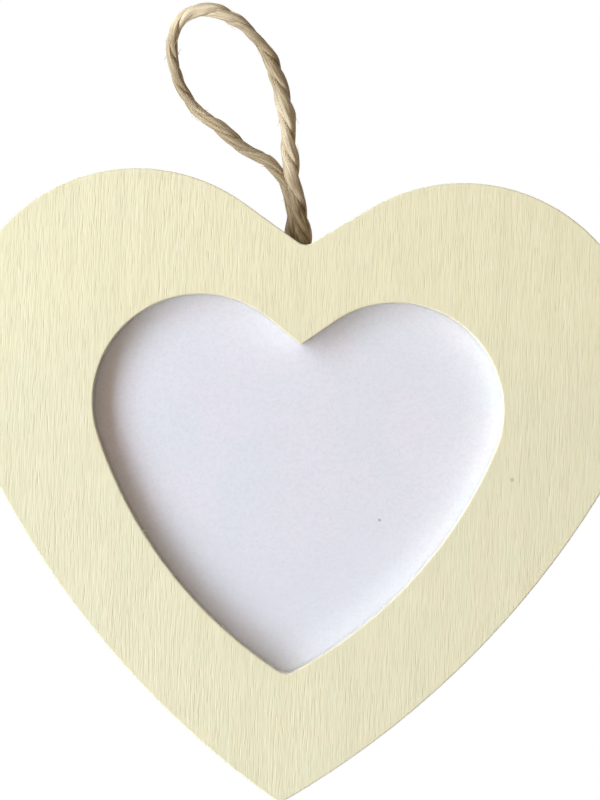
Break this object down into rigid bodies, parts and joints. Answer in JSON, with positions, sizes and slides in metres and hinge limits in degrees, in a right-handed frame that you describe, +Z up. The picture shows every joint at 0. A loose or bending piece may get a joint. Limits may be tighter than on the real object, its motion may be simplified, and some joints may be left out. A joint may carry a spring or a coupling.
{
  "type": "heart shaped photo frame",
  "caption": "Small wooden heart photo frame with a heart window, a clear pane, a lift-out back held by turn buttons, and a twine loop to hang it by.",
  "frame": {"origin": "inner top of the twine loop, where a nail carries the frame, in the middle of the rear ring's depth", "axes": "+Z up, front face towards -Y, +X to the right as seen from the front"},
  "size_m": [0.1, 0.0095, 0.1152],
  "materials": {
    "cream_paint": "matte",
    "clear_film": "gloss",
    "white_card": "matte",
    "hardboard": "matte",
    "brass_plate": "satin",
    "jute": "matte"
  },
  "bodies": {
    "frame_body": {"front_panel": "cream_paint", "rear_ring": "cream_paint", "clear_pane": "clear_film", "photo_insert": "white_card", "backing_board": "hardboard", "button_screw_upper_left": "brass_plate", "button_screw_lower_left": "brass_plate", "button_screw_upper_right": "brass_plate", "button_screw_lower_right": "brass_plate", "hanging_twine": "jute", "twine_knot": "jute"},
    "button_upper_left": {"turn_button_upper_left": "brass_plate"},
    "button_lower_left": {"turn_button_lower_left": "brass_plate"},
    "button_upper_right": {"turn_button_upper_right": "brass_plate"},
    "button_lower_right": {"turn_button_lower_right": "brass_plate"}
  },
  "joints": [
    {"name": "upper_left_turn", "type": "hinge", "parent": "frame_body", "child": "button_upper_left", "pos_m": [-0.01264, 0.002, -0.03861], "axis": [0, 1, 0], "continuous": true},
    {"name": "lower_left_turn", "type": "hinge", "parent": "frame_body", "child": "button_lower_left", "pos_m": [-0.00703, 0.002, -0.08477], "axis": [0, 1, 0], "continuous": true},
    {"name": "upper_right_turn", "type": "hinge", "parent": "frame_body", "child": "button_upper_right", "pos_m": [0.04464, 0.002, -0.03861], "axis": [0, 1, 0], "continuous": true},
    {"name": "lower_right_turn", "type": "hinge", "parent": "frame_body", "child": "button_lower_right", "pos_m": [0.03903, 0.002, -0.08477], "axis": [0, 1, 0], "continuous": true}
  ]
}
